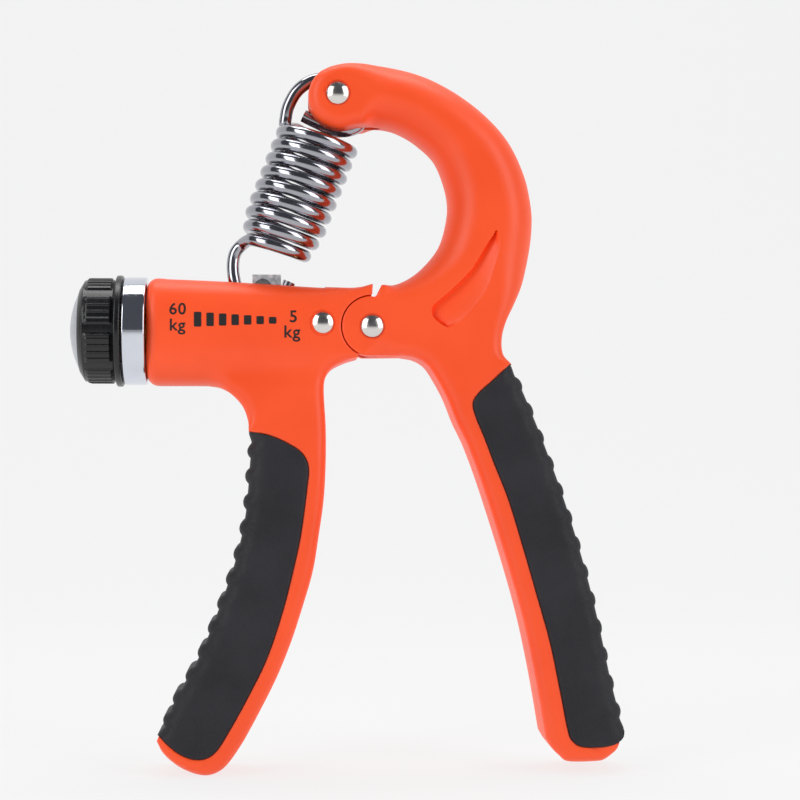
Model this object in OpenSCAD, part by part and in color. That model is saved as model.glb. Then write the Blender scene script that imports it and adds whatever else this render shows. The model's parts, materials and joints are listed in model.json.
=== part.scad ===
// Adjustable hand grip strengthener: two hinged handles pulled open by a coil spring.
// The spring's lower hook rides on a carriage that a knob-driven screw moves along the barrel.
// X runs along the barrel, Y through the thickness and Z up. The origin is under the middle.

/* [Handles] */
// Thickness of both handles, front to back
handle_depth = 18; // [16:0.5:20]
// How far the rubber grips stand proud of the plastic, each side
grip_proud = 0.3; // [0.2:0.1:0.6]
// Thickness of the rubber over the outer edge of each handle
grip_wall = 2.4; // [1.8:0.1:3]
// Thickness of the handle core between the two rubber faces
core_depth = 12; // [10:0.5:13]
// Wall of the hollow plastic shells
shell_wall = 2.6; // [2:0.1:3]
// Radius of each bump along the rubber grips
bump_r = 1.6; // [1.4:0.1:2]
// Height of each bump
bump_h = 0.8; // [0.5:0.1:1]

/* [Barrel] */
// Height of the barrel at the knob end
barrel_h = 21.8; // [21:0.1:23]
// Depth of the barrel, front to back
barrel_depth = 19; // [18.4:0.1:20]
// Squareness of the barrel's section, where 2 is an ellipse
barrel_square = 3; // [2:0.1:4]
// Diameter of the bore that the carriage slides in
barrel_bore_d = 14.4; // [13.8:0.1:15]
// Width of the slot along the top of the barrel
slot_w = 8; // [7.8:0.1:9]

/* [Adjuster] */
// Diameter of the adjusting screw
screw_d = 6; // [5:0.5:7]
// Height of each thread crest shown on the screw
thread_h = 0.45; // [0.3:0.05:0.6]
// Diameter of the chrome collar
collar_d = 22.2; // [21.6:0.1:23]
// Diameter of the knob
knob_d = 21.5; // [20.5:0.1:22.5]
// Number of flutes round the knob
knob_flutes = 8; // [6:1:12]
// Clearance round a turning or sliding fit, on the radius
fit = 0.05; // [0.02:0.01:0.1]

/* [Hinge and rivets] */
// Diameter of every rivet's shank
rivet_d = 4; // [3.5:0.1:4.4]
// Diameter of every rivet's domed head
rivet_head_d = 4.9; // [4.6:0.1:5.6]
// Radius of the round ears of the hinge
ear_r = 6.15; // [5.8:0.05:6.4]
// Thickness of the barrel handle's tongue between the ears
tongue_depth = 6.4; // [5.6:0.2:7]

/* [Spring] */
// Diameter of the spring wire
wire_d = 2.6; // [2.2:0.1:2.8]
// Outer diameter of the coil
coil_d = 17.4; // [16:0.2:18.4]
// Number of turns in the coil
coil_turns = 9; // [6:1:10]
// Distance between neighbouring turns
coil_pitch = 2.95; // [2.8:0.05:3]

/* [Hidden] */
$fn = 64;

// Hinge pin, measured from the point under the middle of the object
pivot_x = 5.2;
pivot_z = 90.9;

half = handle_depth / 2;
over = 0.5; // how far a cutting shape runs past the face that it cuts

// Places along the barrel, measured from the hinge pin
axis_z = -0.7;
barrel_end_x = -45.9;
collar_end_x = -50.6;
knob_x = -50.9;
knob_corner_x = -58.9;
knob_nose_x = -59.7;
cap_tip_x = -61.8;
bore_start_x = -42.6;
bore_end_x = -6.9;
slot_start_x = -41.9;
slot_end_x = -9.6;
block_start_x = -13.8;
spigot_r = 9;

// Centres of the rivets and of the pin in the carriage
barrel_rivet_at = [-10.1, 0.6];
tip_at = [-7.03, 47.47];
hook_pin_at = [-22.3, 8.17];
hook_pin_d = 3.6;

// Line of the spring, from the tip rivet down to the pin in the carriage
spring_line = hook_pin_at - tip_at;
spring_tilt = atan2(spring_line[0], -spring_line[1]);
coil_r = (coil_d - wire_d) / 2;
coil_start = 10.4; // from the tip rivet to the first turn
top_loop_r = 7.5;
bottom_loop_r = 6.5;

plastic = "orangered";
rubber = "#2b2b30";
chrome = "silver";
brass = "#b5a642";

// ---- curves ----

function blend_four(a, b, c, d, t) =
    0.5 * (2 * b + (c - a) * t + (2 * a - 5 * b + 4 * c - d) * t * t
    + (3 * b - a - 3 * c + d) * t * t * t);

// Smooth curve through the points p, without its last point
function curve(p, n = 3) = [
    for (i = [0 : len(p) - 2], k = [0 : n - 1])
        blend_four(p[max(i - 1, 0)], p[i], p[i + 1], p[min(i + 2, len(p) - 1)], k / n)
];

function arc(centre, r, from, to, steps) = [
    for (i = [0 : steps])
        let (a = from + (to - from) * i / steps)
            centre + r * [cos(a), sin(a)]
];

// ---- outlines, seen from the front, with the hinge pin at the origin ----

barrel_outer_edge = [
    [-31, -12.2], [-28.6, -13.8], [-26.3, -16.3], [-25.2, -19.2], [-25, -21.5],
    [-25.6, -28], [-26.4, -37.7], [-28.2, -46.4], [-31.2, -55.5], [-35.2, -65.6],
    [-38.4, -71.7], [-41.2, -76.8], [-43.4, -82.8]
];
barrel_foot = [
    [-43.4, -83.8], [-42.2, -86.3], [-39.6, -88.7], [-36.5, -90.3], [-33.5, -90.9],
    [-31, -90.2], [-29.2, -88.7], [-27.4, -86.3], [-25.8, -83.8]
];
barrel_inner_edge = [
    [-25.8, -83.8], [-23.2, -79], [-19.5, -71.7], [-16.5, -64.4], [-14.1, -57.1],
    [-12, -49.8], [-10.8, -42.5], [-9.8, -35.2], [-9.4, -27.9], [-9.4, -20.7],
    [-9.8, -13.4], [-9.5, -10.5], [-8.2, -8.5], [-5.5, -7.1], [-2.2, -6.1]
];
barrel_top = [[0.1, 8.6], [-6, 8], [-18.8, 8.9], [-31, 9.6], [-45.9, 10.1]];
hinge_block_x = -9; // the flat-sided hinge block starts here

// The arm and the hinge block
module barrel_outline() {
    polygon(concat(
        curve(barrel_outer_edge), curve(barrel_foot), curve(barrel_inner_edge),
        [[-2.2, -6.1], [0.2, 6.2], [0.1, 8.6], [-6, 8], [hinge_block_x, 8.1],
        [hinge_block_x, axis_z], [-31, axis_z]]
    ));
}

// Side view of the barrel, whose top falls gently towards the hinge
module barrel_side() {
    polygon(concat(curve(barrel_top), [[-46, 10.1], [-46, -13], [0.1, -13]]));
}

barrel_grip_inner = [
    [-24.8, -21.4], [-20.7, -22.2], [-16.7, -24], [-14.1, -25.9], [-12.9, -28.6],
    [-13.2, -32.8], [-14.3, -41.3], [-15.5, -47.4], [-17.9, -57.1], [-21.1, -66.8],
    [-24.6, -74.1], [-28.6, -81.4], [-31.7, -86.1], [-34.9, -87.5], [-38.8, -86.3],
    [-43, -82.8]
];
barrel_grip_outer = [for (i = [4 : len(barrel_outer_edge) - 1]) barrel_outer_edge[i]];

hook_outer_edge = [
    [-3.7, 53.8], [-0.2, 54.1], [5.2, 53.6], [11.7, 51.7], [18.4, 48.1], [24.2, 43.5],
    [28.6, 38.3], [31.7, 31.7], [33.1, 25.5], [33.3, 20.7], [32.6, 15], [31.1, 9.1],
    [29.3, 4.9], [27.5, 1.2], [26.6, -2.2], [26.8, -5.5], [28.4, -7.8]
];
hook_grip_outer = [
    [28.4, -7.8], [30.2, -10.6], [32.3, -15.2], [36.1, -24.7], [40.2, -36.2],
    [43.9, -48.4], [46.7, -59.5], [49.1, -71.7], [50.7, -81.4], [50.3, -84.6]
];
hook_foot = [
    [50.3, -84.6], [49.7, -86.4], [47.7, -88.1], [45.7, -88.6], [40, -88.6],
    [38.2, -87.4], [36.6, -85.8], [35.4, -83.8]
];
hook_inner_edge = [
    [35.4, -83.8], [33.3, -71.7], [30.7, -59.5], [27.3, -47.4], [22.8, -33.2],
    [19.7, -24.7], [17.3, -19.6], [15.3, -14.6], [13.1, -10.5], [11.2, -7.8],
    [8.8, -6.4], [6, -5.9]
];
hook_inside = [
    [1.9, 8.4], [5.2, 8.9], [8.6, 10.7], [11.7, 13.6], [14.1, 17], [15.4, 21.1],
    [15.9, 25.4], [15.1, 29.8], [13.1, 34.6], [9.8, 37.9], [6.4, 40.1], [3, 41.3],
    [-1.1, 41.5], [-4, 41.2]
];

module hook_outline() {
    polygon(concat(
        curve(hook_outer_edge), curve(hook_grip_outer), curve(hook_foot),
        curve(hook_inner_edge), [[6, -5.9]],
        arc([0, 0], ear_r, -106, -264, 16), [[0.9, 6.3]],
        curve(hook_inside), arc(tip_at + [0.45, -0.4], 6.45, -70, -255, 12)
    ));
}

// Leaf-shaped recess on both faces of the hook
leaf_edge = [
    [25.3, 19.6], [25.9, 16.2], [24.8, 12.1], [23.2, 7.5], [20.2, 3.4], [17.3, 0.6],
    [15.3, -0.2], [13.6, 0.8], [12.3, 2.2], [12.3, 4], [13.7, 5.3], [17.1, 8.3],
    [20.6, 12.1], [23.2, 16.4], [24.8, 18.8], [25.3, 19.6]
];
leaf_depth = 1.2;

module leaf_recesses() {
    for (y = [-half - over, half - leaf_depth])
        slab(y, y + leaf_depth + over) polygon(curve(leaf_edge));
}

hook_grip_inner = [
    [28.1, -7.6], [24.6, -10.9], [21.8, -13.4], [20.5, -15.5], [21, -18.2],
    [23, -23.1], [24.8, -27.9], [27.7, -35.2], [30.7, -45], [33.5, -54.7],
    [36.2, -64.4], [38.2, -74.1], [40, -83], [41.2, -85.4]
];

function reversed(p) = [for (i = [len(p) - 1 : -1 : 0]) p[i]];

// Area between a grip's inner edge and its outer edge, which moves out by a distance
module grip_area(inner, outer, side, out) {
    rim = [for (p = curve(outer, 3)) p + [side * out, 0]];
    end = [inner[len(inner) - 1], outer[len(outer) - 1] + [side * out, 0]];
    loop = concat(curve(inner), end, reversed(rim));
    polygon(side < 0 ? reversed(loop) : loop);
}

// Area of the plastic that the rubber replaces
module grip_pocket(inner, outer, side) {
    grip_area(inner, outer, side, 4);
}

// Rubber outline, with bumps along its outer edge
module grip_outline(inner, outer, bumps, side) {
    rim = curve(outer, 8);
    step = (len(rim) - 1) / (bumps + 0.5);
    intersection() {
        grip_pocket(inner, outer, side);
        union() {
            grip_area(inner, outer, side, -bump_h);
            for (i = [0 : bumps - 1])
                translate(rim[round(step * (i + 0.8))] - [side * bump_r, 0])
                    circle(bump_r, $fn = 32);
        }
    }
}

module barrel_grip_outline() {
    grip_outline(barrel_grip_inner, barrel_grip_outer, 12, -1);
}

module hook_grip_outline() {
    grip_outline(hook_grip_inner, hook_grip_outer, 14, 1);
}

// ---- placing ----

module place() {
    translate([pivot_x, 0, pivot_z]) children();
}

// Extrudes an outline seen from the front between two depths
module slab(y0, y1) {
    translate([0, y1, 0]) rotate([90, 0, 0]) linear_extrude(y1 - y0) children();
}

// Runs a shape made along +Z along the barrel's axis, from x0
module along_barrel(x0) {
    translate([x0, 0, axis_z]) rotate([0, 90, 0]) children();
}

// Cylinder through the thickness at a point seen from the front
module cross_pin(at, r, y0, y1) {
    translate([at[0], y1, at[1]]) rotate([90, 0, 0]) cylinder(h = y1 - y0, r = r);
}

module half_space(side) {
    translate([-70, side < 0 ? -20 : 0, -110]) cube([140, 20, 180]);
}

// Rivet with a shallow domed head on both faces, in a counterbore ring
module rivet(at, seat) {
    dome_h = 0.75;
    dome_r = (pow(rivet_head_d / 2, 2) + dome_h * dome_h) / (2 * dome_h);
    cross_pin(at, rivet_d / 2, -seat, seat);
    for (side = [-1, 1])
        translate([at[0], side * seat, at[1]]) rotate([-90 * side, 0, 0])
            rotate_extrude()
                intersection() {
                    translate([0, dome_h - dome_r]) circle(dome_r, $fn = 96);
                    square([rivet_head_d / 2, dome_h]);
                }
}

seat_depth = 0.35; // depth of the counterbore under each rivet head

module rivet_holes(at) {
    cross_pin(at, rivet_d / 2, -half - over, half + over);
    for (side = [-1, 1])
        cross_pin(at, rivet_head_d / 2 + 0.2, side < 0 ? -half - 1 : half - seat_depth,
            side < 0 ? -half + seat_depth : half + 1);
}

// ---- barrel handle ----

// Rounded section of the barrel, between an ellipse and a box
module barrel_section() {
    polygon([
        for (i = [0 : 63])
            let (c = cos(i * 360 / 64), s = sin(i * 360 / 64))
                [barrel_h / 2 * sign(c) * pow(abs(c), 2 / barrel_square),
                    barrel_depth / 2 * sign(s) * pow(abs(s), 2 / barrel_square)]
    ]);
}

module barrel_solid() {
    difference() {
        union() {
            intersection() {
                along_barrel(barrel_end_x) linear_extrude(hinge_block_x + 1 - barrel_end_x)
                    barrel_section();
                slab(-12, 12) barrel_side();
            }
            along_barrel(collar_end_x) cylinder(h = 6, r = spigot_r);
            slab(-half, half) difference() {
                barrel_outline();
                grip_pocket(barrel_grip_inner, barrel_grip_outer, -1);
            }
            slab(-core_depth / 2, core_depth / 2)
                offset(delta = -grip_wall) barrel_outline();
            tongue_block();
        }
        hinge_clearance();
        barrel_cuts();
    }
}

module tongue_block() {
    cross_pin([0, 0], ear_r - 0.35, -tongue_depth / 2, tongue_depth / 2);
    translate([-8, -tongue_depth / 2, -4.6]) cube([8, tongue_depth, 9.2]);
}

// Room for the ears of the hook handle, front and back
module hinge_clearance() {
    for (side = [-1, 1])
        cross_pin([0, 0], ear_r + 0.3, side < 0 ? -12 : tongue_depth / 2,
            side < 0 ? -tongue_depth / 2 : 12);
    for (side = [-1, 1])
        translate([0, side < 0 ? -12 : tongue_depth / 2, -8])
            cube([8, 12 - tongue_depth / 2, 14.2]);
}

module barrel_cuts() {
    along_barrel(bore_start_x) cylinder(h = bore_end_x - bore_start_x, d = barrel_bore_d);
    along_barrel(collar_end_x - 1) cylinder(h = 10, r = bush_r);
    translate([slot_start_x, -slot_w / 2, 4.4])
        cube([slot_end_x - slot_start_x, slot_w, 12]);
    rivet_holes(barrel_rivet_at);
    cross_pin([0, 0], pivot_bush_r, -half, half);
    slab(-arm_hollow / 2, arm_hollow / 2) intersection() {
        offset(r = -grip_wall - shell_wall) barrel_outline();
        translate([-50, -84]) square([50, 66]);
    }
}

arm_hollow = core_depth - 2 * shell_wall;
bush_r = 5;
pivot_bush_r = 3.2;

module barrel_handle(side) {
    color(plastic) place() intersection() {
        barrel_solid();
        half_space(side);
    }
}

module barrel_handle_front() {
    barrel_handle(-1);
}

module barrel_handle_back() {
    barrel_handle(1);
}

module barrel_handle_grip() {
    color(rubber) place() difference() {
        slab(-half - grip_proud, half + grip_proud) barrel_grip_outline();
        slab(-core_depth / 2, core_depth / 2)
            offset(delta = -grip_wall) barrel_outline();
    }
}

module collar() {
    color(chrome) place() along_barrel(collar_end_x) difference() {
        cylinder(h = barrel_end_x - collar_end_x, d = collar_d);
        translate([0, 0, -over])
            cylinder(h = barrel_end_x - collar_end_x + 2 * over, r = spigot_r);
    }
}

// Flanged bush that carries the screw at the knob end
module screw_bush() {
    color(brass) place() along_barrel(collar_end_x) difference() {
        cylinder(h = bore_start_x - collar_end_x, r = bush_r);
        translate([0, 0, -over])
            cylinder(h = bore_start_x - collar_end_x + 2 * over, r = screw_d / 2 + fit);
    }
}

// Block that carries the far end of the screw, held by the barrel rivet
module screw_end_block() {
    block_h = 8.6;
    block_l = bore_end_x - block_start_x - 0.2;
    color(brass) place() difference() {
        translate([block_start_x, -5, axis_z - block_h / 2]) cube([block_l, 10, block_h]);
        along_barrel(block_start_x - over)
            cylinder(h = journal_l + 0.3 + over, r = journal_r + fit);
        cross_pin(barrel_rivet_at, rivet_d / 2, -6, 6);
    }
}

journal_l = 1.3;
journal_r = 2;

module barrel_rivet() {
    color(chrome) place() rivet(barrel_rivet_at, half - seat_depth);
}

module pivot_bush() {
    color(brass) place() difference() {
        cross_pin([0, 0], pivot_bush_r, -tongue_depth / 2, tongue_depth / 2);
        cross_pin([0, 0], rivet_d / 2 + fit, -tongue_depth, tongue_depth);
    }
}

// Thin washers between the tongue and the ears
module pivot_washers() {
    color(chrome) place() for (side = [-1, 1])
        difference() {
            cross_pin([0, 0], 5, side < 0 ? -tongue_depth / 2 - washer_t : tongue_depth / 2,
                side < 0 ? -tongue_depth / 2 : tongue_depth / 2 + washer_t);
            cross_pin([0, 0], rivet_d / 2 + 0.3, -half, half);
        }
}

washer_t = 0.4;

// ---- hook handle ----

ear_gap = tongue_depth / 2 + washer_t + 0.1;
tip_slot = 1.7; // half the width of the slot that holds the spring's top loop

module hook_solid() {
    difference() {
        union() {
            slab(-half, half) difference() {
                hook_outline();
                grip_pocket(hook_grip_inner, hook_grip_outer, 1);
            }
            slab(-core_depth / 2, core_depth / 2)
                offset(delta = -grip_wall) hook_outline();
        }
        cross_pin([0, 0], ear_r + 0.3, -ear_gap, ear_gap);
        translate([-9, -ear_gap, -8]) cube([9, 2 * ear_gap, 16]);
        rivet_holes([0, 0]);
        rivet_holes(tip_at);
        leaf_recesses();
        cross_pin(tip_at, 10.6, -tip_slot, tip_slot);
        hook_hollow();
    }
}

// Hollow inside the hook and the arm, clear of the hinge and of the tip
module hook_hollow() {
    slab(-arm_hollow / 2, arm_hollow / 2) intersection() {
        offset(r = -grip_wall - shell_wall) hook_outline();
        union() {
            translate([9, -84]) square([50, 130]);
            translate([6, 36]) square([20, 12]);
        }
    }
}

module hook_handle(side) {
    color(plastic) place() intersection() {
        hook_solid();
        half_space(side);
    }
}

module hook_handle_front() {
    hook_handle(-1);
}

module hook_handle_back() {
    hook_handle(1);
}

module hook_handle_grip() {
    color(rubber) place() difference() {
        slab(-half - grip_proud, half + grip_proud) hook_grip_outline();
        slab(-core_depth / 2, core_depth / 2)
            offset(delta = -grip_wall) hook_outline();
    }
}

module pivot_rivet() {
    color(chrome) place() rivet([0, 0], half - seat_depth);
}

module tip_rivet() {
    color(chrome) place() rivet(tip_at, half - seat_depth);
}

// ---- adjuster ----

module knob() {
    rim_l = 1.3;
    body_l = knob_x - knob_corner_x;
    color("#17171a") place() along_barrel(knob_corner_x) difference() {
        union() {
            cylinder(h = body_l, d = knob_d);
            translate([0, 0, body_l - rim_l]) cylinder(h = rim_l, d = knob_d + 1.5);
            rotate_extrude() polygon([
                [0, 0], [knob_d / 2, 0], [cap_r + 0.4, knob_nose_x - knob_corner_x],
                [0, knob_nose_x - knob_corner_x]
            ]);
        }
        for (i = [0 : knob_flutes - 1])
            rotate(i * 360 / knob_flutes) translate([knob_d / 2 + 0.35, 0, -over])
                cylinder(h = body_l - rim_l - 0.8 + over, r = 1.1, $fn = 16);
        translate([0, 0, -2]) cylinder(h = 5.2, r = cap_r);
        cylinder(h = 20, r = screw_d / 2);
    }
}

cap_r = 8.4;

module knob_cap() {
    rise = knob_nose_x - cap_tip_x;
    dome_r = (cap_r * cap_r + rise * rise) / (2 * rise);
    color("gainsboro") place() along_barrel(knob_nose_x) rotate([0, 180, 0]) {
        rotate_extrude() intersection() {
            translate([0, rise - dome_r]) circle(dome_r, $fn = 160);
            square([cap_r - 0.05, rise]);
        }
        translate([0, 0, -0.8]) cylinder(h = 0.8, r = cap_r - 0.05);
    }
}

// Screw under the cap that holds the knob on the shaft
module knob_screw() {
    color(chrome) place() along_barrel(knob_corner_x + 0.1) difference() {
        union() {
            cylinder(h = 3, r = 4);
            cylinder(h = 6, r = 1.2);
        }
        translate([0, 0, -over]) cylinder(h = 1.6 + over, r = 1.6, $fn = 6);
    }
}

module thrust_washer() {
    color(chrome) place() along_barrel(collar_end_x - 0.25) difference() {
        cylinder(h = 0.2, r = 7);
        translate([0, 0, -over]) cylinder(h = 2, r = screw_d / 2 + 0.01);
    }
}

// Threaded between the bush and the end block, with crests shown as plain rings
module adjusting_screw() {
    start_x = knob_corner_x + 3.2;
    thread_start_x = -41.8;
    color(chrome) place() difference() {
        union() {
            along_barrel(start_x)
                cylinder(h = block_start_x - 0.3 - start_x, d = screw_d);
            along_barrel(block_start_x - 0.4) cylinder(h = journal_l + 0.4, r = journal_r);
            along_barrel(bore_start_x + 0.1) cylinder(h = 0.7, r = bush_r);
        }
        along_barrel(start_x - over) cylinder(h = 3 + over, r = 1.2);
        along_barrel(thread_start_x) for (i = [0 : 17])
            translate([0, 0, i * 1.5]) rotate_extrude() polygon([
                [screw_d / 2 + 0.1, 0.2], [screw_d / 2 + 0.1, 1.1],
                [screw_d / 2 - thread_h, 0.8], [screw_d / 2 - thread_h, 0.5]
            ]);
    }
}

// Clip behind the carriage's end stop on the screw
module screw_clip() {
    color(chrome) place() along_barrel(block_start_x - 0.28) difference() {
        cylinder(h = 0.22, r = 3.6);
        translate([0, 0, -over]) cylinder(h = 2, r = journal_r + 0.01);
    }
}

// ---- carriage ----

carriage_l = 8.4;
cheek_l = 5.8;
cheek_y = 3.6; // outer face of each cheek
gap_y = 1.6; // half the gap between the cheeks

module carriage() {
    x0 = hook_pin_at[0] - 4.4;
    color(chrome) place() difference() {
        union() {
            intersection() {
                along_barrel(x0) cylinder(h = carriage_l, d = barrel_bore_d - 0.4);
                translate([x0 - 1, -8, -9]) cube([carriage_l + 2, 16, 13]);
            }
            translate([hook_pin_at[0] - 2.1, -cheek_y, 0]) cube([cheek_l, 2 * cheek_y, 10.8]);
        }
        along_barrel(x0 - 1) cylinder(h = carriage_l + 2, r = screw_d / 2 + fit);
        translate([x0 - 1, -gap_y, axis_z + screw_d / 2 + 0.6])
            cube([carriage_l + 2, 2 * gap_y, 12]);
        cross_pin(hook_pin_at, hook_pin_d / 2, -6, 6);
    }
}

module carriage_pin() {
    color(chrome) place() cross_pin(hook_pin_at, hook_pin_d / 2, -cheek_y, cheek_y);
}

// ---- spring ----

module tip_sleeve() {
    color(chrome) place() difference() {
        cross_pin(tip_at, 2.6, -tip_slot + 0.1, tip_slot - 0.1);
        cross_pin(tip_at, rivet_d / 2 + fit, -3, 3);
    }
}

// Frame with its origin at the tip rivet and -Z running down the spring
module on_spring() {
    translate([tip_at[0], 0, tip_at[1]]) rotate([0, spring_tilt * -1, 0]) children();
}

// Open loop of wire in the plane of the handles, centred down the spring's line
module wire_loop(down, r, from, sweep) {
    translate([0, 0, -down]) rotate([90, 0, 0])
        rotate([0, 0, from]) rotate_extrude(angle = sweep)
            translate([r, 0]) circle(d = wire_d, $fn = 24);
}

module spring_top_loop() {
    loop_down = top_loop_r - wire_d / 2 - 2.65;
    color(chrome) place() on_spring() wire_loop(loop_down, top_loop_r, -60, 270);
}

module spring_bottom_loop() {
    length = norm(spring_line);
    loop_down = length - (bottom_loop_r - wire_d / 2 - hook_pin_d / 2);
    color(chrome) place() on_spring() wire_loop(loop_down, bottom_loop_r, 162, 204);
}

coil_sides = 8;
coil_steps = 16;

// Ring number i of the helix: eight points round the wire
function coil_ring(i) =
    let (a = 360 * i / coil_steps + 180,
        z = -coil_start - (coil_turns - 1) * coil_pitch + coil_pitch * i / coil_steps)
    [for (k = [0 : coil_sides - 1])
        let (b = 360 * k / coil_sides, r = coil_r + wire_d / 2 * cos(b))
            [r * cos(a), r * sin(a), z + wire_d / 2 * sin(b)]];

module spring_coil() {
    rings = coil_steps * (coil_turns - 1) + 1;
    points = [for (i = [0 : rings - 1]) each coil_ring(i)];
    last = (rings - 1) * coil_sides;
    sides = [
        for (i = [0 : rings - 2], k = [0 : coil_sides - 1])
            let (a = i * coil_sides + k, b = i * coil_sides + (k + 1) % coil_sides)
                [a, a + coil_sides, b + coil_sides, b]
    ];
    caps = [
        [for (k = [0 : coil_sides - 1]) k],
        [for (k = [coil_sides - 1 : -1 : 0]) last + k]
    ];
    color(chrome) place() on_spring() polyhedron(points, concat(sides, caps), convexity = 10);
}

barrel_handle_front();
barrel_handle_back();
barrel_handle_grip();
collar();
screw_bush();
screw_end_block();
barrel_rivet();
pivot_bush();
pivot_washers();
hook_handle_front();
hook_handle_back();
hook_handle_grip();
pivot_rivet();
tip_rivet();
knob();
knob_cap();
knob_screw();
thrust_washer();
adjusting_screw();
screw_clip();
carriage();
carriage_pin();
tip_sleeve();
spring_top_loop();
spring_coil();
spring_bottom_loop();
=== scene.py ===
import json
import math

import bmesh
import bpy
import numpy as np
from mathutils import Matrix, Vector
from mathutils.geometry import delaunay_2d_cdt
from mathutils.kdtree import KDTree


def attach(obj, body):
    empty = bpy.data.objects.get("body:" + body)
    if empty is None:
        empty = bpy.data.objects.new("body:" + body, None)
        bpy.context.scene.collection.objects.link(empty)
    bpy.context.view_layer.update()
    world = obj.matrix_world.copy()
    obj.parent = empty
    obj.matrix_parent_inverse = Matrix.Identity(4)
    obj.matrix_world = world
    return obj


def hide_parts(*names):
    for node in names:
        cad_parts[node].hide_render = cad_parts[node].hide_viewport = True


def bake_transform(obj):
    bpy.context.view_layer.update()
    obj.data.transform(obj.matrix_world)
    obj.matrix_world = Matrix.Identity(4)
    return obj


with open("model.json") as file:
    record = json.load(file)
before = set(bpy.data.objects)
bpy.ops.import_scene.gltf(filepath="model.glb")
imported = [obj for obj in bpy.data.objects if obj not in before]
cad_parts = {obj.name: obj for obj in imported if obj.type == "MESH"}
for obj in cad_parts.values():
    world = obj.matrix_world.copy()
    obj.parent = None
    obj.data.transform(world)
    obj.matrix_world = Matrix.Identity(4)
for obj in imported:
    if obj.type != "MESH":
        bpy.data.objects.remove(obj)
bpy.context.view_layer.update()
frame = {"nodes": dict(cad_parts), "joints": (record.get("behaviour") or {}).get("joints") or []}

MM = 0.001
JOINTS = {joint["name"]: joint for joint in frame["joints"]}
PIVOT = np.array(JOINTS["squeeze"]["pos_m"]) / MM  # hinge pin, in mm
TIP = np.array(JOINTS["spring_swing"]["pos_m"]) / MM
AXIS_Z = JOINTS["knob_turn"]["pos_m"][2] / MM - PIVOT[2]  # barrel's axis, from the hinge pin
FRONT, BACK = -1, 1

# Outlines are seen from the front, in mm from the hinge pin: x to the right, z up.
HALF = 9.0  # half the depth of the handles
EAR_R = 6.15  # round end of the hook handle at the hinge
EAR_INSIDE = 3.7  # half the space between the hook handle's two ears
TONGUE_HALF = 3.2  # half the depth of the barrel handle between the ears
HINGE_GAP = 0.2
BARREL_END_X = -45.9
BARREL_BOTTOM = -12.0
BARREL_HALF = 9.5  # half the depth of the barrel
END_ROUND = 2.2  # rounding of the barrel's end
BORE = (-42.6, -6.9)  # ends of the bore for the screw and carriage
BORE_R = 7.2
SLOT = (-41.9, -9.6)  # ends of the slot along the top of the barrel
SLOT_HALF = 4.0
SLOT_FLOOR = 4.4
TIP_AT = (TIP - PIVOT)[[0, 2]]
TIP_DISC = TIP_AT + (0.45, -0.4)  # middle of the hook's round end
TIP_DISC_R = 6.45
TIP_SLOT_R = 10.6  # reach of the slot that the spring's upper loop swings in
TIP_SLOT_HALF = 1.7
BARREL_RIVET_AT = np.array([-10.1, 0.6])
RIVET_HEAD_R = 2.45
COUNTERBORE = 0.35

BARREL_OUTER_EDGE = [
    (-33.5, -12.0), (-31, -12.4), (-28.6, -13.8), (-26.3, -16.3), (-25.2, -19.2), (-25, -21.5),
    (-25.6, -28), (-26.4, -37.7), (-28.2, -46.4), (-31.2, -55.5), (-35.2, -65.6),
    (-38.4, -71.7), (-41.2, -76.8), (-43.4, -82.8),
]
BARREL_FOOT = [
    (-43.4, -83.8), (-42.2, -86.3), (-39.6, -88.7), (-36.5, -90.3), (-33.5, -90.9),
    (-31, -90.2), (-29.2, -88.7), (-27.4, -86.3), (-25.8, -83.8),
]
BARREL_INNER_EDGE = [
    (-25.8, -83.8), (-23.2, -79), (-19.5, -71.7), (-16.5, -64.4), (-14.1, -57.1),
    (-12, -49.8), (-10.8, -42.5), (-9.8, -35.2), (-9.4, -27.9), (-9.4, -20.7),
    (-9.8, -13.4), (-9.5, -10.5), (-8.2, -8.5), (-5.5, -7.1), (-2.3, -6.05),
]
BARREL_TOP = [(0.1, 8.6), (-2.5, 8.1), (-6, 8), (-18.8, 8.9), (-31, 9.6), (-43.6, 10.1)]
BARREL_GRIP_INNER = [
    (-24.8, -21.4), (-20.7, -22.2), (-16.7, -24), (-14.1, -25.9), (-12.9, -28.6),
    (-13.2, -32.8), (-14.3, -41.3), (-15.5, -47.4), (-17.9, -57.1), (-21.1, -66.8),
    (-24.6, -74.1), (-28.6, -81.4), (-31.7, -86.1), (-34.9, -87.5), (-38.8, -86.3),
    (-43, -82.8),
]
BARREL_GRIP_OUTER = BARREL_OUTER_EDGE[5:]

HOOK_OUTER_EDGE = [
    (-10.5, 52.2), (-8.4, 53.2), (-5.6, 53.85), (-2.9, 54.1), (-0.2, 54.1), (5.2, 53.6),
    (11.7, 51.7), (18.4, 48.1), (24.2, 43.5), (28.6, 38.3), (31.7, 31.7), (33.1, 25.5),
    (33.3, 20.7), (32.6, 15), (31.1, 9.1), (29.3, 4.9), (27.5, 1.2), (26.6, -2.2),
    (26.8, -5.5), (28.4, -7.8),
]
HOOK_GRIP_OUTER = [
    (28.4, -7.8), (30.2, -10.6), (32.3, -15.2), (36.1, -24.7), (40.2, -36.2),
    (43.9, -48.4), (46.7, -59.5), (49.3, -71.7), (50.9, -78.2), (51.55, -82.1),
]
HOOK_GRIP_CORNER = [(47.4, -85.5), (49.6, -84.9), (51, -83.8), (51.5, -82.5)]
HOOK_FOOT = [
    (50.3, -84.6), (49.7, -86.4), (47.7, -88.1), (45.7, -88.6), (40, -88.6),
    (38.2, -87.4), (36.6, -85.8), (35.4, -83.8),
]
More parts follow.
